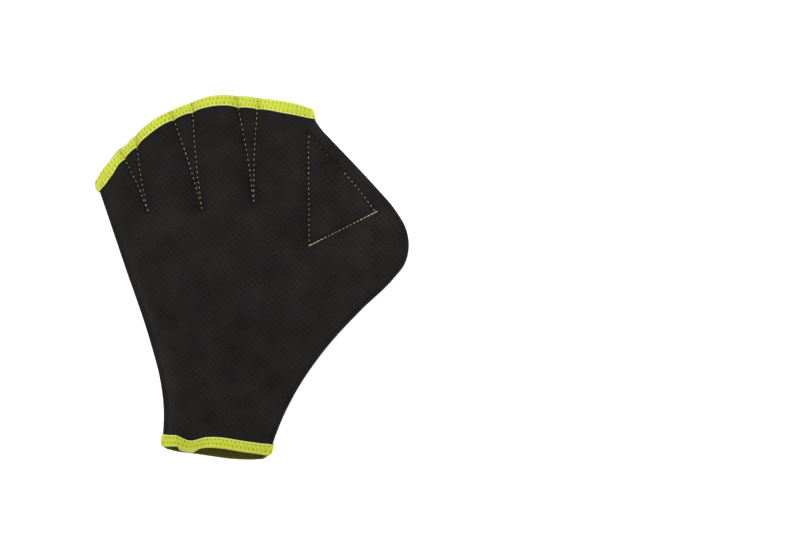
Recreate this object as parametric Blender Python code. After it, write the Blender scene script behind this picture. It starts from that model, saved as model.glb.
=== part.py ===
"""A webbed swim glove lying flat. Two fabric panels meet at the side seams and are stitched together in
three narrow webs between the four finger channels and in a triangular web beside the thumb pocket. Tape is
folded over the finger edge of each panel and round the open wrist.

Sizes are in millimetres until a mesh is made. X points to the thumb side, Y to the fingers and Z up. The
glove rests on z = 0."""

import math

import bmesh
import bpy
import numpy as np
from mathutils import Vector
from mathutils.geometry import delaunay_2d_cdt

MM = 0.001
CENTRE = (-0.2, -0.1, 0.0)  # the middle of the outline below, which becomes the object's origin

# Cloth and tape
FABRIC = 2.0
SQUEEZED_FABRIC = 1.2  # under the tape
TAPE = 0.6
FINGER_TAPE_WIDTH = 6.1
CUFF_TAPE_WIDTH = 7.4
TAPE_FOLD = 0.45  # how far the fold's outer corners are cut back
GAP = 0.3  # between pieces that touch on the real glove
FOLD_ROOM = 1.5 * GAP  # between the panel's raw edge and the inside of the fold

# Heights
SEAM_HEIGHT = 4.2  # of the side seams and webs, halfway between the two panels
SWELL = 12.5  # how far the upper panel rises where nothing holds it down
SWELL_REACH = 9.5  # from a stitch line to where a panel has risen by about two thirds
WEB_LOFT = 0.2  # how strongly the stitched webs rise, as a share of the open spaces
FLOOR_DROP = 45.0  # how far the lower panel would sink away from the seams if no floor stopped it
SEAM_ROUND = 2.6  # from the side seam to where the panel's outer face has rolled over to its full height
SEAM_ROWS = (0.0, 0.8, SEAM_ROUND)  # distances from the side seam where the mesh has a row of points
TAPE_LEAN = (0.0, 55.0, 90.0)  # degrees from flat at which the tape stands off the panel at those rows
TAPE_START = (0.3, 1.3, 3.0)  # how many gaps the inner half of the tape keeps from the seam at those rows

# Mesh
STEP = 6.8  # between points in the open parts of a panel
EDGE_STEP = 4.6  # between points along seams, stitch lines and tape
TAPE_MARGIN = 1.7  # from the tape to the first row of points past it
CLEAR_SHARE = 0.62  # the nearest that a free point comes to the others, as a share of STEP
SEAM_PROBE = 5.0  # the length of side seam from which its direction at a corner is taken
MERGE_DISTANCE = 1e-4

# The outline, as the points that each smooth curve passes through
LITTLE_FINGER_SIDE = (  # from the finger edge to the wrist
    (-97.0, 60.8),
    (-79.8, 9.8),
    (-63.3, -39.2),
    (-57.0, -63.4),
    (-54.9, -80.0),
    (-55.1, -103.2),
)
THUMB_SIDE = (  # from the finger edge to the wrist
    (37.2, 105.0),
    (38.8, 98.6),
    (42.4, 92.8),
    (49.2, 85.4),
    (63.4, 70.5),
    (77.2, 55.6),
    (88.8, 42.0),
    (95.7, 29.6),
    (97.2, 20.5),
    (95.0, 9.3),
    (87.0, -1.4),
    (67.7, -20.0),
    (45.1, -44.8),
    (27.9, -69.6),
    (15.8, -94.0),
    (11.9, -108.6),
)
FINGER_EDGE = (  # the outer fold of the tape, from the little finger to the index finger
    (-97.0, 60.8),
    (-86.4, 73.5),
    (-66.6, 92.7),
    (-52.2, 102.5),
    (-37.3, 108.7),
    (-20.0, 112.6),
    (2.4, 111.2),
    (22.2, 108.3),
    (37.2, 105.0),
)
UPPER_CUFF_EDGE = (  # from the little finger side to the thumb side
    (-55.1, -103.2),
    (-53.5, -104.5),
    (-47.0, -105.3),
    (-38.9, -108.2),
    (-28.2, -105.3),
    (-4.0, -108.2),
    (7.0, -110.1),
    (10.0, -110.0),
    (11.9, -108.6),
)
LOWER_CUFF_EDGE = (
    (-55.1, -103.2),
    (-53.5, -104.5),
    (-49.0, -107.2),
    (-34.1, -109.7),
    (-2.6, -112.9),
    (6.8, -112.3),
    (10.0, -110.0),
    (11.9, -108.6),
)

# The V-shaped webs: where the two lines of stitches meet the tape, and the point of the V
WEBS = (
    {"left": (-79.1, 74.2), "right": (-71.0, 80.1), "point": (-64.0, 40.2)},
    {"left": (-47.9, 96.8), "right": (-36.7, 102.1), "point": (-30.6, 41.4)},
    {"left": (-8.4, 105.2), "right": (3.3, 104.0), "point": (1.2, 45.8)},
)
WEB_BOW = 0.8  # how far the two lines of a V bend toward each other halfway down
THUMB_WEB = ((34.9, 88.6), (35.4, 19.7), (76.7, 40.5))  # the corners of the stitched triangle

# Where the upper layer sags onto the lower one at the wrist, at the overlap of the tape's ends
CUFF_DENT = {"x": -38.9, "y": -108.0, "half_width": 9.0, "half_length": 15.0, "depth": 0.97}

FABRIC_COLOUR = (0.0178, 0.0172, 0.0168, 1.0)
TAPE_COLOUR = (0.596, 0.665, 0.090, 1.0)
FABRIC_ROUGHNESS = 0.85
TAPE_ROUGHNESS = 0.7


class Curve:
    """A smooth curve through a few points, measured by the distance along it."""

    DETAIL = 24  # straight pieces between two of the given points

    def __init__(self, points):
        given = np.array(points, float)
        chord = np.diff(given, axis=0)
        length = np.linalg.norm(chord, axis=1)
        slope = chord / length[:, None]
        before, after = length[:-1, None], length[1:, None]
        inner = (after * slope[:-1] + before * slope[1:]) / (before + after)
        tangent = np.vstack([slope[:1], inner, slope[-1:]])
        t = np.arange(self.DETAIL) / self.DETAIL
        line = []
        for i in range(len(given) - 1):
            start, end = given[i], given[i + 1]
            leave, arrive = tangent[i] * length[i], tangent[i + 1] * length[i]
            for u in t:
                line.append(
                    (2 * u**3 - 3 * u**2 + 1) * start
                    + (u**3 - 2 * u**2 + u) * leave
                    + (3 * u**2 - 2 * u**3) * end
                    + (u**3 - u**2) * arrive
                )
        line.append(given[-1])
        self.line = np.array(line)
        steps = np.linalg.norm(np.diff(self.line, axis=0), axis=1)
        self.along = np.concatenate([[0.0], np.cumsum(steps)])
        self.length = self.along[-1]

    def at(self, s):
        x = np.interp(s, self.along, self.line[:, 0])
        y = np.interp(s, self.along, self.line[:, 1])
        return np.array([x, y])

    def direction(self, s):
        half = 0.5
        ahead = self.at(min(s + half, self.length))
        behind = self.at(max(s - half, 0.0))
        return unit(ahead - behind)

    def crossing(self, point, direction):
        """The distance along the curve at which a straight line through a point crosses it."""
        offset = self.line - point
        side = offset[:, 0] * direction[1] - offset[:, 1] * direction[0]
        crossed = np.flatnonzero(side[:-1] * side[1:] <= 0)
        near = crossed[np.argmin(np.linalg.norm(offset[crossed], axis=1))]
        share = side[near] / (side[near] - side[near + 1])
        return self.along[near] + share * (self.along[near + 1] - self.along[near])


def unit(vector):
    return vector / np.linalg.norm(vector)


def right_of(direction):
    """The direction a quarter turn clockwise from another one."""
    return np.array([direction[1], -direction[0]])


def left_of(direction):
    return np.array([-direction[1], direction[0]])


def evenly(start, end, step):
    """Numbers from start to end, both included, about a step apart."""
    count = max(1, round(abs(end - start) / step))
    return np.linspace(start, end, count + 1)


def inside(points, corners):
    """Which of the points lie inside a polygon."""
    x, y = points[:, 0], points[:, 1]
    found = np.zeros(len(points), bool)
    for (x0, y0), (x1, y1) in zip(corners, np.roll(corners, -1, axis=0)):
        spans = (y0 > y) != (y1 > y)
        level = np.where(y1 == y0, 1.0, y1 - y0)
        found ^= spans & (x < x0 + (x1 - x0) * (y - y0) / level)
    return found


def web_line(web, side):
    """One line of a V, from its point to the tape, bent toward the other line."""
    point, top = np.array(web["point"]), np.array(web[side])
    other = np.array(web["right" if side == "left" else "left"])
    across = right_of(unit(top - point))
    if across @ (other - top) < 0:
        across = -across
    middle = (point + top) / 2 + across * WEB_BOW
    return Curve((point, middle, top))


def side_shift(side, from_wrist):
    """How the outline moves on along a side seam with the distance from a bound edge."""

    def shift(distance):
        if from_wrist:
            return side.at(side.length - distance) - side.at(side.length)
        return side.at(distance) - side.at(0.0)

    return shift


def along_edge(direction, side):
    """A step along a bound edge that leads one millimetre away from the side seam at its end."""
    seam = unit(side(SEAM_PROBE))
    return direction / abs(direction[0] * seam[1] - direction[1] * seam[0])


def line_shift(direction, inward):
    """How a stitch line moves on with the distance from a bound edge."""
    return lambda distance: direction * distance / (direction @ inward)


class Strip:
    """The bound edge of a panel, as columns of points that start at the tape's fold and run into the panel.
    marks holds the distance along the edge, the way a column runs, and if it is stitched down. The outermost
    columns follow the side seams."""

    def __init__(self, edge, first_side, last_side, from_wrist, width, lines=()):
        self.width = width
        self.rows = (TAPE + FOLD_ROOM, width + GAP, width + GAP + TAPE_MARGIN)
        first = side_shift(first_side, from_wrist)
        last = side_shift(last_side, from_wrist)
        self.first_slide = along_edge(edge.direction(0.0), first)
        self.last_slide = along_edge(-edge.direction(edge.length), last)
        first_stretch, last_stretch = np.linalg.norm(self.first_slide), np.linalg.norm(self.last_slide)
        marks = [(d * first_stretch, first, True) for d in SEAM_ROWS]
        inward = left_of if from_wrist else right_of
        for line in lines:
            top = line.at(line.length)
            down = -line.direction(line.length)
            s = edge.crossing(top, down)
            marks.append((s, line_shift(down, inward(edge.direction(s))), True))
        marks += [(edge.length - d * last_stretch, last, True) for d in reversed(SEAM_ROWS)]
        self.columns = []
        for (s0, shift0, held0), (s1, shift1, _) in zip(marks, marks[1:]):
            for s in evenly(s0, s1, EDGE_STEP)[:-1]:
                share = (s - s0) / (s1 - s0)
                self.columns.append((edge.at(s), shift0, shift1, share, held0 and share == 0))
        self.columns.append((edge.at(edge.length), last, last, 0.0, True))

    def point(self, column, distance):
        start, shift0, shift1, share, _ = self.columns[column]
        return start + (1 - share) * shift0(distance) + share * shift1(distance)

    def held(self, column):
        return self.columns[column][4]

    def slide(self, column):
        """The way along the edge that leads a column one millimetre further from its side seam."""
        return self.first_slide if column < len(self.columns) / 2 else self.last_slide


class Plan:
    """A panel seen from above: its points, its triangles, and what holds each point down."""

    def __init__(self, cuff_edge):
        self.points, self.held, self.seam_row, self.bound, self.slide = [], [], [], [], []
        self.triangles = []
        left = Curve(LITTLE_FINGER_SIDE)
        right = Curve(THUMB_SIDE)
        lines = [web_line(web, side) for web in WEBS for side in ("left", "right")]
        self.finger = Strip(Curve(FINGER_EDGE), left, right, False, FINGER_TAPE_WIDTH, lines)
        self.cuff = Strip(Curve(cuff_edge), left, right, True, CUFF_TAPE_WIDTH)
        self.finger_index = self.add_strip(self.finger, flip=False)
        self.cuff_index = self.add_strip(self.cuff, flip=True)
        self.fill_between(left, right, lines)
        self.points = np.array(self.points)
        self.triangles = np.array(self.triangles)
        self.held = np.array(self.held)
        self.seam_row = np.array(self.seam_row)
        self.bound = np.array(self.bound)
        self.slide = np.array(self.slide)
        self.swell = self.solve_swell(lines)

    def add(self, point, held=False, seam_row=None, bound=0.0, slide=(0.0, 0.0)):
        self.points.append(np.array(point, float))
        self.held.append(held or seam_row is not None)
        self.seam_row.append(len(SEAM_ROWS) - 1 if seam_row is None else seam_row)
        self.bound.append(bound)
        self.slide.append(slide)
        return len(self.points) - 1

    def add_strip(self, strip, flip):
        """Adds a strip's points and triangles, and returns the index of each point by column and row."""
        last = len(strip.columns) - 1
        index = []
        for c in range(last + 1):
            seam_row = min(c, last - c)
            if seam_row >= len(SEAM_ROWS):
                seam_row = None
            column = []
            for r, distance in enumerate(strip.rows):
                under_tape = 1.0 if r < len(strip.rows) - 1 else 0.0
                place = strip.point(c, distance)
                column.append(self.add(place, strip.held(c), seam_row, under_tape, strip.slide(c)))
            index.append(column)
        for c in range(last):
            for r in range(len(strip.rows) - 1):
                a, b = index[c][r], index[c][r + 1]
                d, e = index[c + 1][r], index[c + 1][r + 1]
                pair = [(a, b, e), (a, e, d)]
                self.triangles += [t[::-1] for t in pair] if flip else pair
        return index

    def side_rows(self, side, inward, top, bottom):
        """Rows of points beside a side seam, from the finger strip down to the cuff strip."""
        stretch = evenly(self.finger.rows[-1], side.length - self.cuff.rows[-1], EDGE_STEP)[1:-1]
        rows = []
        for r, distance in enumerate(SEAM_ROWS):
            row = [top[r]]
            for s in stretch:
                across = inward(side.direction(s))
                row.append(self.add(side.at(s) + across * distance, seam_row=r, slide=across))
            rows.append(row + [bottom[r]])
        return rows

    def fill_between(self, left, right, lines):
        count = len(SEAM_ROWS)
        finger_row = [column[-1] for column in self.finger_index]
        cuff_row = [column[-1] for column in self.cuff_index]
        left_rows = self.side_rows(left, left_of, finger_row[:count], cuff_row[:count])
        right_rows = self.side_rows(right, right_of, finger_row[::-1][:count], cuff_row[::-1][:count])
        border = left_rows[0] + cuff_row[1:] + right_rows[0][::-1][1:] + finger_row[::-1][1:-1]
        chains = [border + border[:1], *left_rows[1:], *right_rows[1:]]
        held_columns = [c for c in range(count, len(self.finger_index) - count) if self.finger.held(c)]
        for number, line in enumerate(lines):
            end = self.finger_index[held_columns[number]][-1]
            reach = line.length - (self.finger.rows[-1] - self.finger.width)
            stations = evenly(0.0, reach, EDGE_STEP)[:-1]
            if number % 2 == 0:
                point = self.add(line.at(0.0), held=True)
            chains.append([point] + [self.add(line.at(s), held=True) for s in stations[1:]] + [end])
        corners = [self.add(corner, held=True) for corner in THUMB_WEB]
        for k in range(len(THUMB_WEB)):
            start, end = np.array(THUMB_WEB[k]), np.array(THUMB_WEB[(k + 1) % len(THUMB_WEB)])
            shares = evenly(0.0, 1.0, EDGE_STEP / np.linalg.norm(end - start))[1:-1]
            between = [self.add(start + (end - start) * share, held=True) for share in shares]
            chains.append([corners[k]] + between + [corners[(k + 1) % len(corners)]])
        ring = np.array([self.points[i] for i in border])
        fixed = np.array([self.points[i] for i in sorted({i for chain in chains for i in chain})])
        lattice = self.lattice(ring, fixed)
        for point in lattice:
            self.add(point)
        self.triangulate(border, chains)

    def lattice(self, ring, fixed):
        """Evenly spread points inside the ring, away from the points that are there already."""
        low, high = ring.min(0), ring.max(0)
        row_height = STEP * math.sqrt(3) / 2
        spread = []
        for j in range(int((high[1] - low[1]) / row_height) + 1):
            for i in range(int((high[0] - low[0]) / STEP) + 2):
                spread.append((low[0] + (i - j % 2 / 2) * STEP, low[1] + j * row_height))
        spread = np.array(spread)
        spread = spread[inside(spread, ring)]
        away = np.min(np.linalg.norm(spread[:, None] - fixed[None], axis=2), axis=1)
        return spread[away > CLEAR_SHARE * STEP]

    def triangulate(self, border, chains):
        used = sorted({i for chain in chains for i in chain} | set(self.free_points()))
        place = {i: n for n, i in enumerate(used)}
        flat = [Vector(self.points[i]) for i in used]
        edges = [(place[a], place[b]) for chain in chains for a, b in zip(chain, chain[1:])]
        only_inside = 1
        found = delaunay_2d_cdt(flat, edges, [[place[i] for i in border]], only_inside, MERGE_DISTANCE)
        came_from = [used[origin[0]] for origin in found[3]]
        for a, b, c in found[2]:
            self.triangles.append((came_from[a], came_from[b], came_from[c]))

    def free_points(self):
        strips = self.finger_index + self.cuff_index
        in_strips = {i for column in strips for i in column}
        return [i for i in range(len(self.points)) if i not in in_strips]

    def solve_swell(self, lines):
        """How far each point rises, from 0 to 1, as a sheet that is held at the seams and stitch lines and
        pushed up evenly between them. It is found by finite elements and conjugate gradients."""
        p, t = self.points, self.triangles
        a, b, c = p[t[:, 0]], p[t[:, 1]], p[t[:, 2]]
        area = 0.5 * np.abs((b - a)[:, 0] * (c - a)[:, 1] - (b - a)[:, 1] * (c - a)[:, 0])
        centre = (a + b + c) / 3
        webbed = inside(centre, np.array(THUMB_WEB))
        for n in range(0, len(lines), 2):
            outer = [self.reach_edge(lines[n]), self.reach_edge(lines[n + 1])]
            corners = np.vstack([lines[n].line, outer[0], outer[1], lines[n + 1].line[::-1]])
            webbed |= inside(centre, corners)
        push = np.where(webbed, WEB_LOFT, 1.0) * area / 3
        weight = area / 3 / SWELL_REACH**2
        size = len(p)
        load = np.bincount(t.ravel(), np.repeat(push / SWELL_REACH**2, 3), size)
        own = np.bincount(t.ravel(), np.repeat(weight, 3), size)
        least_cross, least_share = 1e-9, 1e-12
        first, second, pull = [], [], []
        for k in range(3):
            i, j, o = t[:, k], t[:, (k + 1) % 3], t[:, (k + 2) % 3]
            u, v = p[i] - p[o], p[j] - p[o]
            cross = np.abs(u[:, 0] * v[:, 1] - u[:, 1] * v[:, 0])
            first.append(i)
            second.append(j)
            pull.append(0.5 * (u * v).sum(1) / np.maximum(cross, least_cross))
        first, second, pull = np.concatenate(first), np.concatenate(second), np.concatenate(pull)
        free = ~self.held
        diagonal = own + np.bincount(first, pull, size) + np.bincount(second, pull, size)

        def stiffness(h):
            difference = pull * (h[first] - h[second])
            out = own * h + np.bincount(first, difference, size) - np.bincount(second, difference, size)
            return np.where(free, out, 0.0)

        height = np.zeros(size)
        rest = np.where(free, load, 0.0)
        scaled = rest / diagonal
        heading = scaled.copy()
        energy = rest @ scaled
        smallest = least_share * energy
        while energy > smallest:
            change = stiffness(heading)
            reach = energy / (heading @ change)
            height += reach * heading
            rest -= reach * change
            scaled = rest / diagonal
            renewed = rest @ scaled
            heading = scaled + renewed / energy * heading
            energy = renewed
        return height

    def reach_edge(self, line):
        """A point past the tape on the run of a stitch line."""
        past_tape = 2 * FINGER_TAPE_WIDTH
        return line.at(line.length) + line.direction(line.length) * past_tape


def dent(points):
    """The share of its rise that the upper panel keeps near the sag at the wrist."""
    x = (points[:, 0] - CUFF_DENT["x"]) / CUFF_DENT["half_width"]
    y = (points[:, 1] - CUFF_DENT["y"]) / CUFF_DENT["half_length"]
    return 1 - CUFF_DENT["depth"] * np.exp(-(x**2) - y**2)


def layer_heights(plan, upper):
    """How far the inner and the outer face of a panel are from the height of the seams."""
    room_for_tape = plan.bound * (TAPE + GAP)
    fabric = FABRIC + plan.bound * (SQUEEZED_FABRIC - FABRIC)
    base = GAP / 2 + room_for_tape
    if upper:
        rise = SWELL * plan.swell * dent(plan.points)
    else:
        under = fabric + plan.bound * (TAPE + GAP)
        most = SEAM_HEIGHT - base - under
        rise = np.minimum(most, FLOOR_DROP * plan.swell)
    inner = base + rise
    return inner, inner + fabric


def round_over(plan, inner, outer):
    """Points of the two faces, with the outer one rolled down to the seam and the inner one starting a
    wall's thickness inside it."""
    rolled = [math.sqrt(1 - (1 - d / SEAM_ROUND) ** 2) for d in SEAM_ROWS]
    inner_place = [FABRIC + (SEAM_ROUND - FABRIC) * d / SEAM_ROUND for d in SEAM_ROWS]
    rolled, inner_place = np.array(rolled)[plan.seam_row], np.array(inner_place)[plan.seam_row]
    in_row = np.array(SEAM_ROWS)[plan.seam_row]
    outer = GAP / 2 + (outer - GAP / 2) * rolled
    inner = GAP / 2 + (inner - GAP / 2) * rolled
    inner_points = plan.points + plan.slide * (inner_place - in_row)[:, None]
    return np.column_stack([inner_points, inner]), np.column_stack([plan.points, outer])


def border_edges(triangles):
    """The edges that only one triangle has, in that triangle's order."""
    edges = np.concatenate([triangles[:, [0, 1]], triangles[:, [1, 2]], triangles[:, [2, 0]]])
    _, index, count = np.unique(np.sort(edges, axis=1), axis=0, return_inverse=True, return_counts=True)
    return edges[count[index.ravel()] == 1]


def panel(name, plan, upper):
    """A panel as a closed wall between its inner and its outer face."""
    inner, outer = round_over(plan, *layer_heights(plan, upper))
    side = 1 if upper else -1
    for face in (inner, outer):
        face[:, 2] = SEAM_HEIGHT + side * face[:, 2]
    size = len(plan.points)
    t = plan.triangles
    faces = [*t, *(t[:, ::-1] + size)]
    for a, b in border_edges(t):
        faces += [(b, a, a + size), (b, a + size, b + size)]
    return make_object(name, np.vstack([outer, inner]), faces, fabric_material(name))


def slant(places, heights):
    """How much more an upright gap needs where the panel's edge climbs, to stay as wide across."""
    run = np.linalg.norm(np.diff(places, axis=0), axis=1)
    steep = np.hypot(1, np.diff(heights) / run)
    return np.maximum(np.append(steep, 1.0), np.append(1.0, steep))


def tape_sections(plan, strip, index, upper):
    """The cross-section of the tape at each column of a strip: out over the panel's outer face, round the
    fold and back over its inner face, with a gap to the panel all round."""
    heights = layer_heights(plan, upper)
    steeper = np.ones(len(index))
    if upper:
        places = [strip.point(c, 0.0) for c in range(len(index))]
        steeper = slant(places, heights[0][[column[0] for column in index]])
    side = 1 if upper else -1
    last = len(strip.columns) - 1
    sections = []
    for c in range(last + 1):
        row = min(c, last - c, len(SEAM_ROWS) - 1)
        seam_column = min(c, last - c) < len(SEAM_ROWS)
        lean = math.radians(TAPE_LEAN[row])
        low, high = index[c][0], index[c][1]
        across = strip.slide(c)
        levels = []
        for face in heights:
            levels.append((face[low], (face[high] - face[low]) / (strip.rows[1] - strip.rows[0])))

        def corner(distance, outside, layer):
            """A point at a distance from the fold, on the tape's outer side or the one next to the panel."""
            place = strip.point(c, distance)
            level, slope = levels[1 if outside else 0]
            level = level + slope * (max(distance, strip.rows[0]) - strip.rows[0])
            offset = GAP * steeper[c] + (TAPE if layer else 0.0)
            if outside:
                rolled = math.sqrt(1 - (1 - SEAM_ROWS[row] / SEAM_ROUND) ** 2)
                level = level * rolled + offset * math.sin(lean)
                place = place - across * offset * math.cos(lean)
            else:
                level = max(level - offset, GAP / 2 + (0.0 if layer else TAPE)) * (1 if row else 0)
                start = SEAM_ROUND + GAP * TAPE_START[row] + offset
                if seam_column:
                    place = place + across * (start - SEAM_ROWS[row])
            return (*place, SEAM_HEIGHT + side * level)

        end = strip.width
        sections.append(
            [
                corner(end, True, 1),
                corner(TAPE_FOLD, True, 1),
                corner(0.0, True, 0),
                corner(0.0, False, 0),
                corner(TAPE_FOLD, False, 1),
                corner(end, False, 1),
                corner(end, False, 0),
                corner(TAPE, False, 0),
                corner(TAPE, True, 0),
                corner(end, True, 0),
            ]
        )
    return np.array(sections)


def swept(sections, closed):
    """Faces between one cross-section and the next, with the ends closed where it isn't a loop. They are
    split from the fold side of one section to the far side of the next, as the panel beside them is."""
    count, size = len(sections), len(sections[0])
    toward_fold = (0, 1, 4, 6)
    faces = []
    for c in range(count if closed else count - 1):
        here, there = c * size, (c + 1) % count * size
        back = closed and c >= count / 2
        for k in range(size):
            n = (k + 1) % size
            if (k in toward_fold) != back:
                faces += [(here + k, here + n, there + k), (here + n, there + n, there + k)]
            else:
                faces += [(here + k, here + n, there + n), (here + k, there + n, there + k)]
    if not closed:
        caps = [(0, 1, 8, 9), (1, 2, 8), (2, 3, 7, 8), (3, 4, 7), (4, 5, 6, 7)]
        end = (count - 1) * size
        faces += [tuple(reversed(cap)) for cap in caps]
        faces += [tuple(k + end for k in cap) for cap in caps]
    return faces


def finger_binding(name, plan, upper):
    sections = tape_sections(plan, plan.finger, plan.finger_index, upper)
    side = 1 if upper else -1
    for end in (0, -1):
        height = side * (sections[end, :, 2] - SEAM_HEIGHT)
        sections[end, :, 2] = SEAM_HEIGHT + side * np.maximum(height, GAP / 2)
    faces = swept(sections, closed=False)
    return make_object(name, sections.reshape(-1, 3), faces, tape_material(name))


def cuff_binding(name, upper_plan, lower_plan):
    above = tape_sections(upper_plan, upper_plan.cuff, upper_plan.cuff_index, True)
    below = tape_sections(lower_plan, lower_plan.cuff, lower_plan.cuff_index, False)
    loop = np.concatenate([above, below[::-1][1:-1]])
    for shared, other in ((0, 0), (len(above) - 1, -1)):
        loop[shared] = (above[shared] + below[other]) / 2
    faces = swept(loop, closed=True)
    return make_object(name, loop.reshape(-1, 3), faces, tape_material(name))


def material(name, colour, roughness):
    made = bpy.data.materials.new(name)
    made.use_nodes = True
    shader = made.node_tree.nodes["Principled BSDF"]
    shader.inputs["Base Color"].default_value = colour
    shader.inputs["Roughness"].default_value = roughness
    shader.inputs["Metallic"].default_value = 0.0
    made.diffuse_color = colour
    return made


def fabric_material(name):
    return material(name + "_fabric", FABRIC_COLOUR, FABRIC_ROUGHNESS)


def tape_material(name):
    return material(name + "_tape", TAPE_COLOUR, TAPE_ROUGHNESS)


def make_object(name, points, faces, surface):
    mesh = bpy.data.meshes.new(name)
    placed = (points - CENTRE) * MM
    mesh.from_pydata(placed.tolist(), [], [[int(i) for i in face] for face in faces])
    body = bmesh.new()
    body.from_mesh(mesh)
    bmesh.ops.recalc_face_normals(body, faces=body.faces)
    body.to_mesh(mesh)
    body.free()
    mesh.materials.append(surface)
    made = bpy.data.objects.new(name, mesh)
    bpy.context.scene.collection.objects.link(made)
    return made


def clear_scene():
    for old in list(bpy.data.objects):
        bpy.data.objects.remove(old, do_unlink=True)


def main():
    clear_scene()
    upper_plan = Plan(UPPER_CUFF_EDGE)
    lower_plan = Plan(LOWER_CUFF_EDGE)
    panel("upper_panel", upper_plan, True)
    panel("lower_panel", lower_plan, False)
    finger_binding("upper_finger_binding", upper_plan, True)
    finger_binding("lower_finger_binding", lower_plan, False)
    cuff_binding("cuff_binding", upper_plan, lower_plan)


main()
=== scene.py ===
"""The looks of a webbed swim glove lying flat: two knit panels, tape over the finger edges and round the
wrist, and the thread that holds them together. Sizes are in millimetres until a mesh is made."""

import math

import bpy
import numpy as np
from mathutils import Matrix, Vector
from mathutils.bvhtree import BVHTree
from mathutils.geometry import delaunay_2d_cdt
from mathutils.kdtree import KDTree


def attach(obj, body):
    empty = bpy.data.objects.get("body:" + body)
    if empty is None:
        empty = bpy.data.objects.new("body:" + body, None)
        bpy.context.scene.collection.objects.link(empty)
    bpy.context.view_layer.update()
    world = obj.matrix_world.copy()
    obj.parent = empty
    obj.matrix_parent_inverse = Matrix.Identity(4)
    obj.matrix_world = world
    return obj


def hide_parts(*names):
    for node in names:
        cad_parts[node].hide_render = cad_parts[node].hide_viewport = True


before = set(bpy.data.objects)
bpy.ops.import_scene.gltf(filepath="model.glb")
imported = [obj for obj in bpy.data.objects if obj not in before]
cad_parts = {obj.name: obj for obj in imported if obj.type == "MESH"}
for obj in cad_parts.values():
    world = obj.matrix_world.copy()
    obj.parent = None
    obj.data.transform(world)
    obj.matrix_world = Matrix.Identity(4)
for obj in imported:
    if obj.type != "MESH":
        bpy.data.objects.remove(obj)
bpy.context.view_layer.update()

MM = 0.001
CENTRE = (-0.2, -0.1, 0.0)  # the middle of the outline below, which is the object's origin

# Cloth and tape
FABRIC = 2.0
SQUEEZED_FABRIC = 1.2  # under the tape
TAPE = 0.6
GAP = 0.12  # between pieces that touch
NOSE = 1.3  # how deep the rounded fold of the tape is

# Heights
SEAM_HEIGHT = 4.2
SWELL = 12.5
SWELL_REACH = 9.5
WEB_LOFT = 0.2
FLOOR_DROP = 20.0
SEAM_ROUND = 2.6
SEAM_ROWS = (0.0, 0.12, 0.4, 0.85, 1.4, 2.0, SEAM_ROUND)

# Mesh
STEP = 1.5
FINE_STEP = 0.75  # beside a line of stitches
FINE_REACH = 2.6
EDGE_STEP = 1.1
STITCH_STEP = 0.8
SEED = 7
CLEAR_SHARE = 0.62
SEAM_PROBE = 5.0
MERGE_DISTANCE = 1e-4
LEAST = 1e-9  # a share or an area that counts as nothing
TAPE_STEP = 0.36
FOLD_LINE = 0.3  # how far the painted shade line along the tape's fold reaches, as a share of the turn

# The outline, as the points that each smooth curve passes through
LITTLE_FINGER_SIDE = (
    (-97.0, 60.8),
    (-79.8, 9.8),
    (-63.3, -39.2),
    (-57.0, -63.4),
    (-54.9, -80.0),
    (-55.7, -104.9),
)
THUMB_SIDE = (
    (37.2, 105.0),
    (38.8, 98.6),
    (42.4, 92.8),
    (49.2, 85.4),
    (63.4, 70.5),
    (77.2, 55.6),
    (88.8, 42.0),
    (95.7, 29.6),
    (97.2, 20.5),
    (95.0, 9.3),
    (87.0, -1.4),
    (67.7, -20.0),
    (45.1, -44.8),
    (27.9, -69.6),
    (16.1, -94.0),
    (12.9, -103.2),
    (12.1, -106.8),
    (11.1, -110.3),
)
FINGER_EDGE = (
    (-97.0, 60.8),
    (-86.4, 73.5),
    (-66.6, 92.7),
    (-52.2, 102.5),
    (-37.3, 108.7),
    (-20.0, 112.6),
    (2.4, 111.2),
    (22.2, 108.3),
    (37.2, 105.0),
)
UPPER_CUFF_EDGE = (
    (-55.7, -104.9),
    (-53.3, -104.8),
    (-47.0, -104.3),
    (-38.9, -107.3),
    (-28.2, -104.6),
    (-4.0, -107.2),
    (4.2, -108.8),
    (8.4, -110.0),
    (11.1, -110.3),
)
LOWER_CUFF_EDGE = (
    (-55.7, -104.9),
    (-53.3, -106.2),
    (-49.0, -107.6),
    (-34.1, -109.7),
    (-9.0, -112.9),
    (1.0, -113.1),
    (5.2, -112.8),
    (8.6, -112.2),
    (11.1, -110.3),
)

# The V-shaped webs, and the stitched triangle of the thumb web
WEBS = (
    {"left": (-79.1, 74.2), "right": (-71.0, 80.1), "point": (-64.0, 40.2)},
    {"left": (-47.9, 96.8), "right": (-36.7, 102.1), "point": (-30.6, 41.4)},
    {"left": (-8.4, 105.2), "right": (3.3, 104.0), "point": (1.2, 45.8)},
)
WEB_BOW = 0.8
PAST_EDGE = 14.8  # how far a V line still draws the edge of the cloth down
THUMB_WEB = ((34.9, 88.6), (35.4, 19.7), (76.7, 40.5))
THUMB_WEB_BULGE = (69.1, 50.8)  # the outer side of the triangle bends out through this point

# The faint fold from the top of the triangle to the tape
WEB_FOLD = {"start": (34.9, 89.5), "end": (35.2, 97.5), "depth": 0.9, "half_width": 0.6}

CUFF_DENT = {"x": -38.9, "y": -108.0, "half_width": 9.0, "half_length": 15.0, "depth": 0.97}

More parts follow.
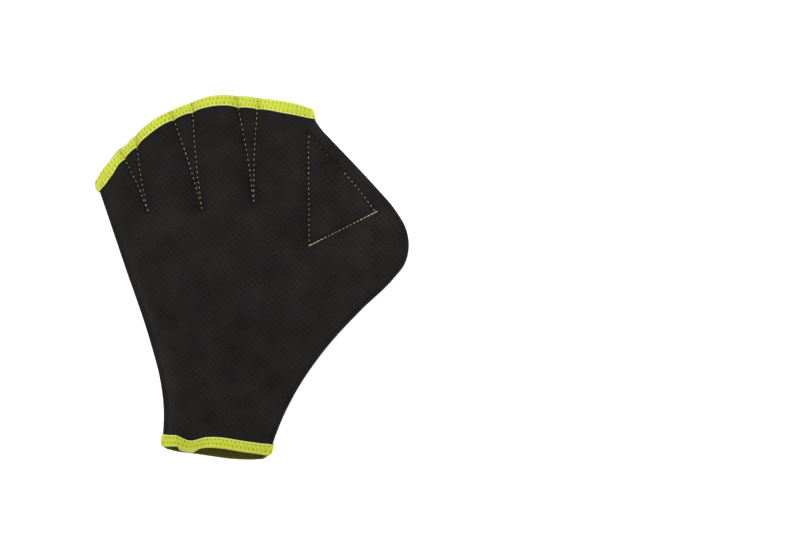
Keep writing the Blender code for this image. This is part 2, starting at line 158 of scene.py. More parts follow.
# The finger tape's width at distances along its fold
FINGER_TAPE = (
    {"along": 0.0, "width": 7.8},
    {"along": 7.0, "width": 8.6},
    {"along": 14.0, "width": 7.9},
    {"along": 19.0, "width": 6.1},
    {"along": 25.0, "width": 5.4},
    {"along": 46.0, "width": 6.0},
    {"along": 69.0, "width": 6.0},
    {"along": 91.0, "width": 6.4},
    {"along": 107.0, "width": 6.9},
    {"along": 118.0, "width": 6.4},
    {"along": 135.0, "width": 7.9},
    {"along": 147.0, "width": 7.8},
    {"along": 153.4, "width": 7.1},
)
TAPE_CUSP = {"depth": 0.7, "reach": 1.7}  # where a web's stitches draw the tape's edge down
TAPE_END = {"out": 1.2, "cuff_out": 0.4, "reach": 1.6}  # how a tape bulges past the little finger's side

# Where the finger tape's fold stands out past the edge of the panel
FINGER_FOLD = (
    {"along": 21.8, "out": 1.3, "reach": 4.6},
    {"along": 32.7, "out": 0.5, "reach": 2.0},
    {"along": 113.5, "out": 0.6, "reach": 7.0},
)

# The cuff tape's width at shares of its length, and the patch where its ends overlap
CUFF_TAPE = (
    {"share": 0.0, "width": 8.0},
    {"share": 0.07, "width": 7.4},
    {"share": 0.24, "width": 6.9},
    {"share": 0.45, "width": 6.9},
    {"share": 0.9, "width": 7.0},
    {"share": 0.955, "width": 7.5},
    {"share": 1.0, "width": 7.0},
)
CUFF_DULL = 0.2
CUFF_PATCH = {"start": 10.7, "end": 24.5, "thick": 0.4, "out": 1.5}

# Stitches
WEB_STITCH = {"pitch": 3.2, "length": 1.5, "radius": 0.19}
BRIGHT_STITCH = {"pitch": 2.5, "length": 2.7, "radius": 0.3}
ZIGZAG = {"pitch": 2.46, "radius": 0.15, "from_fold": 2.0, "from_rim": 1.3}
CUFF_ZIGZAG = {"pitch": 2.46, "radius": 0.15, "from_fold": 2.6, "from_rim": 1.6}
GROOVE = {"depth": 0.62, "half_width": 0.9, "hole": 0.35}

# Long, low waves of the cloth: their length, the way they run and their height
WAVES = (
    {"length": 34.0, "way": 25.0, "height": 0.11},
    {"length": 23.0, "way": 110.0, "height": 0.08},
    {"length": 13.0, "way": 65.0, "height": 0.04},
)

# Colours
FABRIC_COLOUR = (0.0101, 0.0093, 0.0089, 1.0)
DOT_COLOUR = (0.0050, 0.0046, 0.0044, 1.0)
TAPE_COLOUR = (0.415, 0.470, 0.027, 1.0)
TAPE_LIGHT_COLOUR = (0.610, 0.670, 0.068, 1.0)
# Painted shade in the tape's needle holes and creases and toward its fold; it also gives the cuff tape its
# darker tone all over
TAPE_SHADE_AND_DULL_COLOUR = (0.210, 0.250, 0.003, 1.0)
# Paler along the tape's rim, and, with the shade colour, painted shading where the tape turns away round its
# fold
TAPE_RIM_AND_FOLD_SHADING_COLOUR = (0.610, 0.630, 0.250, 1.0)
# A painted shade line along the fold of the finger tape
TAPE_FOLD_SHADE_COLOUR = (0.290, 0.300, 0.130, 1.0)
# Painted shade on the tape's inner face: dark olive, a little lighter along its ribs
TAPE_INSIDE_SHADE_COLOUR = (0.034, 0.030, 0.001, 1.0)
TAPE_INSIDE_SHADE_LIGHTER_COLOUR = (0.110, 0.100, 0.007, 1.0)
THREAD_COLOUR = (0.520, 0.520, 0.300, 1.0)
BRIGHT_THREAD_COLOUR = (0.720, 0.720, 0.380, 1.0)
TAPE_THREAD_COLOUR = (0.510, 0.570, 0.055, 1.0)
PALE = (0.86, 0.86, 0.86, 1.0)
WHITE = (1.0, 1.0, 1.0, 1.0)

# The knit's rows of dimples: how far they wander, their turn in degrees and their pitches
KNIT = {"drift": (1.3, 1.3, 0.0), "turn": 6.5, "column": 4.3, "row": 3.65}

# The pitches of the tape's weave, and the turns of a thread in a millimetre
TAPE_RIBS = 0.62
TAPE_ROWS = 0.55
THREAD_TURNS = 1.6

# The floor, the lamps and the camera, in metres and watts
FLOOR_SIZE = 6.0
FLOOR_LEVEL = -0.0001
LAMPS = (
    {"name": "key_light", "place": (-0.35, 1.0, 1.3), "size": 1.3, "power": 22.0},
    {"name": "fill_light", "place": (0.7, -0.5, 1.6), "size": 1.6, "power": 5.0},
)
CAMERA = {"lens": 85.0, "sensor": 36.0, "place": (0.0919, 0.0070, 1.175)}  # lens and sensor in mm


class Curve:
    """A smooth curve through a few points, measured by the distance along it."""

    DETAIL = 48

    def __init__(self, points):
        given = np.array(points, float)
        chord = np.diff(given, axis=0)
        length = np.linalg.norm(chord, axis=1)
        slope = chord / length[:, None]
        before, after = length[:-1, None], length[1:, None]
        inner = (after * slope[:-1] + before * slope[1:]) / (before + after)
        tangent = np.vstack([slope[:1], inner, slope[-1:]])
        u = (np.arange(self.DETAIL) / self.DETAIL)[:, None]
        line = []
        for i in range(len(given) - 1):
            leave, arrive = tangent[i] * length[i], tangent[i + 1] * length[i]
            line.append(
                (2 * u**3 - 3 * u**2 + 1) * given[i]
                + (u**3 - 2 * u**2 + u) * leave
                + (3 * u**2 - 2 * u**3) * given[i + 1]
                + (u**3 - u**2) * arrive
            )
        self.line = np.vstack([*line, given[-1:]])
        steps = np.linalg.norm(np.diff(self.line, axis=0), axis=1)
        self.along = np.concatenate([[0.0], np.cumsum(steps)])
        self.length = self.along[-1]

    def at(self, s):
        x = np.interp(s, self.along, self.line[:, 0])
        y = np.interp(s, self.along, self.line[:, 1])
        return np.array([x, y])

    def direction(self, s):
        half = 0.5
        ahead = self.at(min(s + half, self.length))
        behind = self.at(max(s - half, 0.0))
        return unit(ahead - behind)

    def crossing(self, point, direction):
        """The distance along the curve at which a straight line through a point crosses it."""
        offset = self.line - point
        side = offset[:, 0] * direction[1] - offset[:, 1] * direction[0]
        crossed = np.flatnonzero(side[:-1] * side[1:] <= 0)
        near = crossed[np.argmin(np.linalg.norm(offset[crossed], axis=1))]
        share = side[near] / (side[near] - side[near + 1])
        return self.along[near] + share * (self.along[near + 1] - self.along[near])


def unit(vector):
    return vector / np.linalg.norm(vector)


def right_of(direction):
    return np.array([direction[1], -direction[0]])


def left_of(direction):
    return np.array([-direction[1], direction[0]])


def evenly(start, end, step):
    """Numbers from start to end, both included, about a step apart."""
    count = max(1, round(abs(end - start) / step))
    return np.linspace(start, end, count + 1)


def ease(value, low, high):
    """0 below low, 1 above high and smooth between."""
    t = np.clip((value - low) / (high - low), 0, 1)
    return t * t * (3 - 2 * t)


def inside(points, corners):
    """Which of the points lie inside a polygon."""
    x, y = points[:, 0], points[:, 1]
    found = np.zeros(len(points), bool)
    for (x0, y0), (x1, y1) in zip(corners, np.roll(corners, -1, axis=0)):
        spans = (y0 > y) != (y1 > y)
        level = np.where(y1 == y0, 1.0, y1 - y0)
        found ^= spans & (x < x0 + (x1 - x0) * (y - y0) / level)
    return found


def web_line(web, side):
    """One line of a V, from its point to the tape, bent toward the other line."""
    point, top = np.array(web["point"]), np.array(web[side])
    other = np.array(web["right" if side == "left" else "left"])
    across = right_of(unit(top - point))
    if across @ (other - top) < 0:
        across = -across
    middle = (point + top) / 2 + across * WEB_BOW
    return Curve((point, middle, top))


def triangle_sides():
    """The stitched sides of the thumb web, in order: inner, lower and outer."""
    top, bottom, tip = THUMB_WEB
    return [Curve((top, bottom)), Curve((bottom, tip)), Curve((tip, THUMB_WEB_BULGE, top))]


def side_shift(side, from_wrist):
    """How the outline moves on along a side seam with the distance from a bound edge."""

    def shift(distance):
        past = min(distance, 0.0)
        if from_wrist:
            return side.at(side.length - distance) - side.at(side.length) - past * side.direction(side.length)
        return side.at(distance) - side.at(0.0) + past * side.direction(0.0)

    return shift


def along_edge(direction, side):
    """A step along a bound edge that leads one millimetre away from the side seam at its end."""
    seam = unit(side(SEAM_PROBE))
    return direction / abs(direction[0] * seam[1] - direction[1] * seam[0])


def line_shift(direction, inward):
    """How a stitch line moves on with the distance from a bound edge."""
    return lambda distance: direction * distance / (direction @ inward)


class Strip:
    """The bound edge of a panel, as columns of points that start at the tape's fold and run into the panel.
    marks holds the distance along the edge, the way a column runs, and if it is stitched down."""

    PAST_TAPE = (0.25, 0.8, 1.6, 2.8)
    UNDER_TAPE = (1.0, 1.0, 1.0, 1.0, 0.7, 0.25, 0.0)

    def __init__(self, edge, first_side, last_side, from_wrist, width_at, fold_at, lines=(), end_out=0.0):
        self.edge = edge
        self.end_out = end_out
        self.width_at = width_at
        self.fold_at = fold_at
        first = side_shift(first_side, from_wrist)
        last = side_shift(last_side, from_wrist)
        self.first_slide = along_edge(edge.direction(0.0), first)
        self.last_slide = along_edge(-edge.direction(edge.length), last)
        self.stretch = np.linalg.norm(self.first_slide), np.linalg.norm(self.last_slide)
        marks = [(d * self.stretch[0], first, True) for d in SEAM_ROWS]
        inward = left_of if from_wrist else right_of
        self.pinches = []
        for line in lines:
            down = -line.direction(line.length)
            s = edge.crossing(line.at(line.length), down)
            self.pinches.append(s)
            marks.append((s, line_shift(down, inward(edge.direction(s))), True))
        marks += [(edge.length - d * self.stretch[1], last, True) for d in reversed(SEAM_ROWS)]
        self.columns = []
        for (s0, shift0, held0), (s1, shift1, _) in zip(marks, marks[1:]):
            for s in evenly(s0, s1, EDGE_STEP)[:-1]:
                share = (s - s0) / (s1 - s0)
                self.columns.append((s, edge.at(s), shift0, shift1, share, held0 and share == 0))
        self.columns.append((edge.length, edge.at(edge.length), last, last, 0.0, True))
        self.stations = np.array([column[0] for column in self.columns])

    def width(self, column):
        return self.width_at(self, self.stations[column])

    def rows(self, column):
        """The distances from the fold at which a column has its points, a little further in near a seam."""
        width = self.width(column)
        near_seam = min(column, len(self.columns) - 1 - column) < len(SEAM_ROWS)
        first = TAPE + (4.5 if near_seam else 1.5) * GAP
        return (first, width / 2, width - 0.4, *(width + d for d in self.PAST_TAPE))

    def point(self, column, distance):
        _, start, shift0, shift1, share, _ = self.columns[column]
        return start + (1 - share) * shift0(distance) + share * shift1(distance)

    def held(self, column):
        return self.columns[column][5]

    def slide(self, column):
        """The way along the edge that leads a column one millimetre further from its side seam."""
        return self.first_slide if column < len(self.columns) / 2 else self.last_slide

    def led(self, column, distance, further):
        """The way to a column's point at a distance from the fold, led further from its side seam."""
        first = column < len(self.columns) / 2
        s = self.stations[column] + further * (self.stretch[0] if first else -self.stretch[1])
        c = int(np.clip(np.searchsorted(self.stations, s) - 1, 0, len(self.stations) - 2))
        share = (s - self.stations[c]) / (self.stations[c + 1] - self.stations[c])
        place = (1 - share) * self.point(c, distance) + share * self.point(c + 1, distance)
        return place - self.point(column, distance)


def finger_tape_width(strip, s):
    width = np.interp(s, *columns_of(FINGER_TAPE, "along", "width"))
    for pinch in strip.pinches:
        width = width + TAPE_CUSP["depth"] * np.exp(-np.abs(s - pinch) / TAPE_CUSP["reach"])
    return width


def finger_fold(strip, s):
    """How far the fold of the finger tape stands out past the edge of the panel."""
    return sum(row["out"] * np.exp(-(((s - row["along"]) / row["reach"]) ** 2)) for row in FINGER_FOLD)


def cuff_tape_width(strip, s):
    return np.interp(s / strip.edge.length, *columns_of(CUFF_TAPE, "share", "width"))


def cuff_fold(strip, s):
    """The fold of the cuff tape stands out where its ends overlap."""
    return CUFF_PATCH["out"] * patch_cover(s)


def plain_fold(strip, s):
    """The fold of the tape on the lower cuff follows the edge."""
    return 0.0


def patch_cover(s):
    """1 on the patch of the cuff tape and 0 beside it, with a sharp end and one that runs out slowly."""
    return ease(s, CUFF_PATCH["start"] - 0.25, CUFF_PATCH["start"] + 0.25) * (
        1 - ease(s, CUFF_PATCH["end"] - 6.0, CUFF_PATCH["end"] + 1.0)
    )


class Plan:
    """A panel seen from above: its points, its triangles, and what holds each point down."""

    def __init__(self, cuff_edge, upper):
        self.points, self.held, self.seam_row, self.bound, self.slide = [], [], [], [], []
        self.triangles = []
        left, right = Curve(LITTLE_FINGER_SIDE), Curve(THUMB_SIDE)
        self.lines = [web_line(web, side) for web in WEBS for side in ("left", "right")]
        self.sides = triangle_sides()
        self.finger = Strip(
            Curve(FINGER_EDGE), left, right, False, finger_tape_width, finger_fold, self.lines,
            end_out=TAPE_END["out"],
        )
        fold = cuff_fold if upper else plain_fold
        self.cuff = Strip(
            Curve(cuff_edge), left, right, True, cuff_tape_width, fold, end_out=TAPE_END["cuff_out"]
        )
        self.finger_index = self.add_strip(self.finger, flip=False)
        self.cuff_index = self.add_strip(self.cuff, flip=True)
        self.fill_between(left, right)
        for name in ("points", "triangles", "held", "seam_row", "bound", "slide"):
            setattr(self, name, np.array(getattr(self, name)))
        self.from_stitch, self.along_stitch = self.measure_stitches()
        self.swell = self.solve_swell()

    def add(self, point, held=False, seam_row=None, bound=0.0, slide=(0.0, 0.0)):
        self.points.append(np.array(point, float))
        self.held.append(held or seam_row is not None)
        self.seam_row.append(len(SEAM_ROWS) - 1 if seam_row is None else seam_row)
        self.bound.append(bound)
        self.slide.append(slide)
        return len(self.points) - 1

    def add_strip(self, strip, flip):
        """Adds a strip's points and triangles, and returns the index of each point by column and row."""
        last = len(strip.columns) - 1
        inner_place = seam_roll()[1]
        index = []
        for c in range(last + 1):
            seam_row = min(c, last - c)
            if seam_row >= len(SEAM_ROWS):
                seam_row = None
            further = 0.0 if seam_row is None else inner_place[seam_row] - SEAM_ROWS[seam_row]
            column = []
            for distance, bound in zip(strip.rows(c), strip.UNDER_TAPE):
                slide = strip.led(c, distance, further) / further if further > 0 else strip.slide(c)
                column.append(self.add(strip.point(c, distance), strip.held(c), seam_row, bound, slide))
            index.append(column)
        for one, two in zip(index, index[1:]):
            for a, b, d, e in zip(one, one[1:], two, two[1:]):
                pair = [(a, b, e), (a, e, d)]
                self.triangles += [t[::-1] for t in pair] if flip else pair
        return index

    def side_rows(self, side, inward, top, bottom, finger_end, cuff_end):
        """Rows of points beside a side seam, from the finger strip down to the cuff strip."""
        stretch = evenly(finger_end, side.length - cuff_end, EDGE_STEP)[1:-1]
        rows = []
        for r, distance in enumerate(SEAM_ROWS):
            row = [top[r]]
            for s in stretch:
                across = inward(side.direction(s))
                row.append(self.add(side.at(s) + across * distance, seam_row=r, slide=across))
            rows.append(row + [bottom[r]])
        return rows

    def fill_between(self, left, right):
        """Adds the side seams, the lines of stitches and the cloth between the two strips."""
        count = len(SEAM_ROWS)
        finger_row = [column[-1] for column in self.finger_index]
        cuff_row = [column[-1] for column in self.cuff_index]
        cuff_end = self.cuff.rows(0)[-1]
        ends = [self.finger.rows(c)[-1] for c in (0, len(finger_row) - 1)]
        left_rows = self.side_rows(left, left_of, finger_row, cuff_row, ends[0], cuff_end)
        right_rows = self.side_rows(right, right_of, finger_row[::-1], cuff_row[::-1], ends[1], cuff_end)
        border = left_rows[0] + cuff_row[1:] + right_rows[0][::-1][1:] + finger_row[::-1][1:-1]
        chains = [border + border[:1], *left_rows[1:], *right_rows[1:]]
        held_columns = [c for c in range(count, len(self.finger_index) - count) if self.finger.held(c)]
        for number, line in enumerate(self.lines):
            end = self.finger_index[held_columns[number]][-1]
            reach = line.length - np.linalg.norm(self.points[end] - line.at(line.length))
            stations = evenly(0.0, reach, STITCH_STEP)[:-1]
            if number % 2 == 0:
                point = self.add(line.at(0.0), held=True)
            chains.append([point] + [self.add(line.at(s), held=True) for s in stations[1:]] + [end])
        corners = [self.add(corner, held=True) for corner in THUMB_WEB]
        for side, start, end in zip(self.sides, corners, corners[1:] + corners[:1]):
            stations = evenly(0.0, side.length, STITCH_STEP)[1:-1]
            chains.append([start] + [self.add(side.at(s), held=True) for s in stations] + [end])
        ring = np.array([self.points[i] for i in border])
        fixed = [self.points[i] for i in sorted({i for chain in chains for i in chain})]
        self.scatter(ring, fixed)
        self.triangulate(border, chains)

    def stitch_samples(self):
        """Close points on every line of stitches, with the distance along it."""
        samples = []
        for line in self.lines + self.sides:
            past = PAST_EDGE if line in self.lines else 0.0
            for s in evenly(0.0, line.length + past, 0.25):
                over = max(0.0, s - line.length)
                samples.append((*(line.at(s) + line.direction(line.length) * over), s))
        return samples

    def scatter(self, ring, fixed):
        """Evenly spread points inside the ring, closer together beside the stitches, and away from the
        points that are there already."""
        stitches = tree(self.stitch_samples())
        low, high = ring.min(0), ring.max(0)
        for step, near in ((FINE_STEP, True), (STEP, False)):
            spread = hexagons(low, high, step)
            taken = tree(fixed)
            added = []
            for x, y in spread[inside(spread, ring)]:
                beside = stitches.find((x, y, 0))[2] < FINE_REACH
                if beside == near and taken.find((x, y, 0))[2] > CLEAR_SHARE * step:
                    added.append((x, y))
            for place in added:
                self.add(place)
            fixed = fixed + added

    def triangulate(self, border, chains):
        """Fills the border with triangles that have every chain of points as edges."""
        in_strips = {i for column in self.finger_index + self.cuff_index for i in column}
        in_chains = {i for chain in chains for i in chain}
        used = [i for i in range(len(self.points)) if i in in_chains or i not in in_strips]
        place = {i: n for n, i in enumerate(used)}
        flat = [Vector(self.points[i]) for i in used]
        edges = [(place[a], place[b]) for chain in chains for a, b in zip(chain, chain[1:])]
        only_inside = 1
        found = delaunay_2d_cdt(flat, edges, [[place[i] for i in border]], only_inside, MERGE_DISTANCE)
        came_from = [used[origin[0]] for origin in found[3]]
        self.triangles += [tuple(came_from[corner] for corner in face) for face in found[2]]

    def measure_stitches(self):
        """Each point's distance from the nearest line of stitches, and the place along it."""
        samples = self.stitch_samples()
        stitches = tree(samples)
        nearest = [stitches.find((x, y, 0)) for x, y in self.points]
        away = [distance for _, _, distance in nearest]
        along = [samples[number][2] for _, number, _ in nearest]
        return np.array(away), np.array(along)

    def solve_swell(self):
        """How far each point rises, from 0 to 1, as a sheet that is held at the seams and stitch lines and
        pushed up evenly between them. It is found by finite elements."""
        p, t = self.points, self.triangles
        a, b, c = p[t[:, 0]], p[t[:, 1]], p[t[:, 2]]
        area = 0.5 * np.abs(cross(b - a, c - a))
        weight = area / 3 / SWELL_REACH**2
        push = np.where(self.webbed((a + b + c) / 3), WEB_LOFT, 1.0) * weight
        size = len(p)
        load = np.bincount(t.ravel(), np.repeat(push, 3), size)
        own = np.bincount(t.ravel(), np.repeat(weight, 3), size)
        first, second, pull = [], [], []
        for k in range(3):
            i, j, o = t[:, k], t[:, (k + 1) % 3], t[:, (k + 2) % 3]
            u, v = p[i] - p[o], p[j] - p[o]
            first.append(i)
            second.append(j)
            pull.append(0.5 * (u * v).sum(1) / np.maximum(np.abs(cross(u, v)), LEAST))
        first, second, pull = np.concatenate(first), np.concatenate(second), np.concatenate(pull)
        free = ~self.held

        def stiffness(h):
            difference = pull * (h[first] - h[second])
            out = own * h + np.bincount(first, difference, size) - np.bincount(second, difference, size)
            return np.where(free, out, 0.0)

        diagonal = own + np.bincount(first, pull, size) + np.bincount(second, pull, size)
        return conjugate_gradients(stiffness, diagonal, np.where(free, load, 0.0))

    def webbed(self, places):
        """Which of the places lie in a web, between two lines of a V or in the triangle of the thumb web."""
        found = inside(places, np.vstack([side.line for side in self.sides]))
        for one, two in zip(self.lines[::2], self.lines[1::2]):
            found |= inside(places, np.vstack([one.line, reach_edge(one), reach_edge(two), two.line[::-1]]))
        return found


def conjugate_gradients(stiffness, diagonal, load):
    """The heights at which the stiffness balances the load."""
    height = np.zeros(len(load))
    rest = load.copy()
    scaled = rest / diagonal
    heading = scaled.copy()
    energy = rest @ scaled
    smallest = LEAST * energy
    while energy > smallest:
        change = stiffness(heading)
        reach = energy / (heading @ change)
        height += reach * heading
        rest -= reach * change
        scaled = rest / diagonal
        renewed = rest @ scaled
        heading = scaled + renewed / energy * heading
        energy = renewed
    return height


def cross(first, second):
    """The cross product of flat vectors."""
    return first[:, 0] * second[:, 1] - first[:, 1] * second[:, 0]


def tree(points):
    """A search tree of points, which may have more than the two numbers of their place."""
    found = KDTree(len(points))
    for number, point in enumerate(points):
        found.insert((point[0], point[1], 0), number)
    found.balance()
    return found


def columns_of(table, *names):
    return [[row[name] for row in table] for name in names]


def hexagons(low, high, step):
    """Points a step apart in rows that are shifted by half a step."""
    row_height = step * math.sqrt(3) / 2
    spread = []
    for j in range(int((high[1] - low[1]) / row_height) + 1):
        for i in range(int((high[0] - low[0]) / step) + 2):
            spread.append((low[0] + (i - j % 2 / 2) * step, low[1] + j * row_height))
    return np.array(spread)


def reach_edge(line):
    """A point past the tape on the run of a stitch line."""
    return line.at(line.length) + line.direction(line.length) * PAST_EDGE


def dent(points):
    """The share of its rise that the upper panel keeps near the sag at the wrist."""
    x = (points[:, 0] - CUFF_DENT["x"]) / CUFF_DENT["half_width"]
    y = (points[:, 1] - CUFF_DENT["y"]) / CUFF_DENT["half_length"]
    return 1 - CUFF_DENT["depth"] * np.exp(-(x**2) - y**2)


def waves(points):
    """Long, low waves that run over the cloth."""
    height = np.zeros(len(points))
    for number, wave in enumerate(WAVES):
        way = math.radians(wave["way"])
        place = points @ np.array([math.cos(way), math.sin(way)])
        height += wave["height"] * np.sin(2 * np.pi * place / wave["length"] + number)
    return height


def faint_fold(points):
    """The depth of the fold above the triangle of the thumb web."""
    start, end = np.array(WEB_FOLD["start"]), np.array(WEB_FOLD["end"])
    way = end - start
    share = np.clip((points - start) @ way / (way @ way), 0, 1)
    away = np.linalg.norm(points - start - share[:, None] * way, axis=1)
    return WEB_FOLD["depth"] * np.exp(-((away / WEB_FOLD["half_width"]) ** 2))


def layer_heights(plan, upper):
    """How far the inner and the outer face of a panel are from the height of the seams."""
    room_for_tape = plan.bound * (TAPE + GAP)
    fabric = FABRIC + plan.bound * (SQUEEZED_FABRIC - FABRIC)
    base = GAP / 2 + room_for_tape
    if upper:
        rise = SWELL * plan.swell * dent(plan.points)
    else:
        under = fabric + plan.bound * (TAPE + GAP)
        most = SEAM_HEIGHT - base - under
        rise = most * (1 - np.exp(-FLOOR_DROP * plan.swell / most))
    groove = GROOVE["depth"] * np.exp(-((plan.from_stitch / GROOVE["half_width"]) ** 2))
    holes = 0.5 + 0.5 * np.cos(2 * np.pi * (plan.along_stitch / WEB_STITCH["pitch"]))
    groove *= 1 - GROOVE["hole"] + 2 * GROOVE["hole"] * holes
    groove += faint_fold(plan.points)
    if upper:
        rise = rise + waves(plan.points) * np.minimum(rise / 4.0, 1.0) * (1 - plan.bound)
    inner = base + rise
    return inner, inner + fabric - groove * (1 - plan.bound)


def seam_roll():
    """For each row beside a side seam: the share of its height, and the place of the inner face."""
    rolled = [math.sqrt(1 - (1 - d / SEAM_ROUND) ** 2) for d in SEAM_ROWS]
    inner_place = [FABRIC + (SEAM_ROUND - FABRIC) * d / SEAM_ROUND for d in SEAM_ROWS]
    return np.array(rolled), np.array(inner_place)


def border_edges(triangles):
    """The edges that only one triangle has, in that triangle's order."""
    edges = np.concatenate([triangles[:, [0, 1]], triangles[:, [1, 2]], triangles[:, [2, 0]]])
    _, index, count = np.unique(np.sort(edges, axis=1), axis=0, return_inverse=True, return_counts=True)
    return edges[count[index.ravel()] == 1]


def panel(name, plan, upper, surface):
    """A panel as a closed wall between its inner and its outer face."""
    inner, outer = layer_heights(plan, upper)
    rolled, inner_place = (values[plan.seam_row] for values in seam_roll())
    outer = GAP / 2 + (outer - GAP / 2) * rolled
    inner = GAP / 2 + (inner - GAP / 2) * rolled + (TAPE + GAP) * plan.bound * (1 - rolled)
    further = inner_place - np.array(SEAM_ROWS)[plan.seam_row]
    side = 1 if upper else -1
    layers = (plan.points, outer), (plan.points + plan.slide * further[:, None], inner)
    points = np.vstack([np.column_stack([place, SEAM_HEIGHT + side * height]) for place, height in layers])
    size = len(plan.points)
    t = plan.triangles
    a, b = border_edges(t).T
    walls = np.vstack([np.column_stack([b, a, a + size]), np.column_stack([b, a + size, b + size])])
    faces = np.vstack([t, t[:, ::-1] + size, walls])
    if not upper:
        faces = faces[:, ::-1]
    around = np.where(plan.seam_row < len(SEAM_ROWS) - 1, (1 - rolled) * SEAM_HEIGHT, 0.0)
    knit = plan.points - plan.slide * around[:, None]
    made = make_object(name, points, faces.tolist(), surface)
    add_attribute(made, "knit", np.vstack([knit, knit]))
    return made


class Tape:
    """Tape folded over a bound edge. Its section is a table of points, each with a place from the fold, the
    half of the tape that it is in, from 1 outside to 0 inside, and how far out it is in the tape's
    thickness, from 0 next to the panel to 1."""

    LEG, ROUND, RIM = 15, 9, 5
    LINING = (0.7, 0.35, 0.0)  # where the side next to the panel has its points, as shares of the leg

    def __init__(self, plan, strip, index, upper):
        self.side = 1 if upper else -1
        self.make_section()
        inner_face, outer_face = layer_heights(plan, upper)
        near, far = (np.array([column[row] for column in index]) for row in (0, 3))
        count = len(index)
        order = np.arange(count)
        places = np.array([strip.point(c, 0.0) for c in order])
        steep = slant(places, inner_face[near]) if upper else np.ones(count)
        low = strip.rows(count // 2)[0]
        widths = np.array([strip.width(c) for c in order])
        out = np.array([strip.fold_at(strip, s) for s in strip.stations])[:, None]
        distance = self.lead - out + self.share * (widths[:, None] - NOSE + out)
        flat = np.array([[strip.point(c, d) for d in distance[c]] for c in order])
        slides = np.array([strip.slide(c) for c in order])[:, None]
        stretch = np.linalg.norm(slides[:, 0], axis=1)
        rows = np.minimum(order, order[::-1])
        last_row = len(SEAM_ROWS) - 1
        beyond = np.minimum(strip.stations, strip.stations[-1] - strip.stations) / stretch
        from_seam = np.where(rows <= last_row, np.array(SEAM_ROWS)[np.minimum(rows, last_row)], beyond)
        rolled = np.sqrt(1 - (1 - np.minimum(from_seam, SEAM_ROUND) / SEAM_ROUND) ** 2)[:, None]
        lean = np.arcsin(rolled)
        inner_share = np.sqrt(np.minimum(from_seam / SEAM_ROWS[3], 1.0))[:, None]
        start = SEAM_ROUND + GAP * np.interp(from_seam, (0.0, 0.8, SEAM_ROUND), (1.0, 2.0, 4.0))
        fade = 1 - ease(from_seam, SEAM_ROUND, SEAM_ROUND + 4.6)
        shift = (start - np.minimum(from_seam, SEAM_ROUND)) * fade
        way = np.where(order < count / 2, stretch, -stretch)
        across = np.clip(distance / widths[:, None], 0, 1)
        at_first = np.exp(-((strip.stations / stretch / TAPE_END["reach"]) ** 2))[:, None]
        bulge = strip.end_out * at_first * np.sin(np.pi * across)

        def level(face):
            slope = (face[far] - face[near]) / (widths + strip.PAST_TAPE[0] - low)
            return face[near][:, None] + slope[:, None] * (np.maximum(distance, low) - low)

        def layer(depth):
            """Where the tape would be at a depth from 0, next to the panel, to 1, its outer face."""
            offset = (GAP + TAPE * depth) * np.minimum(steep, 1.3)[:, None] * np.ones_like(distance)
            outer_level = level(outer_face) * rolled + offset * np.sin(lean)
            outer_place = flat - slides * (offset * np.cos(lean) + bulge)[:, :, None]
            least = GAP / 2 + TAPE * (1 - depth)
            inner_level = np.maximum(level(inner_face) - offset, least) * inner_share
            further = shift + offset[:, 0] * fade
            inner_place = spread_along(strip.stations, flat, strip.stations + way * further)
            half = self.half[None, :, None]
            place = half * outer_place + (1 - half) * inner_place
            height = self.half * outer_level + (1 - self.half) * inner_level
            return np.dstack([place, SEAM_HEIGHT + self.side * height])

        self.under, self.over = layer(0.0), layer(1.0)
        self.distance = distance
        self.stations = strip.stations
        self.resample()

    def make_section(self):
        """A row for each point round the section: its place before the leg, its share of the leg, the half
        of the tape that it is in, and its depth."""
        turn = np.linspace(-0.5, 0.5, self.RIM) * np.pi
        rim = [(0.5 * TAPE * (math.cos(angle) - 1), 0.5 + 0.5 * math.sin(angle)) for angle in turn]
        leg = np.linspace(1.0, 0.0, self.LEG + 1)[1:-1]
        rows = [(place, 1.0, 1.0, depth) for place, depth in rim]
        rows += [(0.0, share, 1.0, 1.0) for share in leg]
        for angle in np.linspace(0.5, -0.5, self.ROUND) * np.pi:
            rows.append((-NOSE * math.cos(angle), 0.0, 0.5 + 0.5 * math.sin(angle), 1.0))
        rows += [(0.0, share, 0.0, 1.0) for share in leg[::-1]]
        rows += [(place, 1.0, 0.0, depth) for place, depth in rim[::-1]]
        rows += [(0.0, share, 0.0, 0.0) for share in self.LINING]
        for angle in np.linspace(-0.25, 0.25, 3) * np.pi:
            rows.append(((TAPE - NOSE) * math.cos(angle), 0.0, 0.5 + 0.5 * math.sin(angle), 0.0))
        rows += [(0.0, share, 1.0, 0.0) for share in self.LINING[::-1]]
        before, self.share, self.half, self.depth = np.array(rows).T
        self.lead = NOSE + before

    def surface(self, s, d):
        """A place on the tape's outer face and the way out of it, at a distance along and from the fold."""
        leg = np.flatnonzero((self.half > 0.999) & (self.depth > 0.999))[::-1]
        c = int(np.clip(np.searchsorted(self.stations, s) - 1, 0, len(self.stations) - 2))
        share = (s - self.stations[c]) / (self.stations[c + 1] - self.stations[c])
        found = []
        for values in (self.shaped, self.over - self.under):
            ends = []
            for column in (c, c + 1):
                across = self.distance[column, leg]
                ends.append(np.array([np.interp(d, across, values[column, leg, k]) for k in range(3)]))
            found.append((1 - share) * ends[0] + share * ends[1])
        return found[0], unit(found[1])

    def resample(self):
        """Gives the tape closer columns, and keeps those beside the seams."""
        count = len(SEAM_ROWS)
        kept = self.stations[:count], self.stations[-count:]
        made = np.unique(np.concatenate([evenly(self.stations[0], self.stations[-1], TAPE_STEP), *kept]))
        for name in ("under", "over", "distance"):
            setattr(self, name, spread_along(self.stations, getattr(self, name), made))
        self.stations = made


def spread_along(stations, values, wanted):
    """Values at stations along an edge, interpolated for other stations."""
    number = np.clip(np.searchsorted(stations, wanted) - 1, 0, len(stations) - 2)
    share = (wanted - stations[number]) / (stations[number + 1] - stations[number])
    share = share.reshape((-1,) + (1,) * (values.ndim - 1))
    return values[number] * (1 - share) + values[number + 1] * share


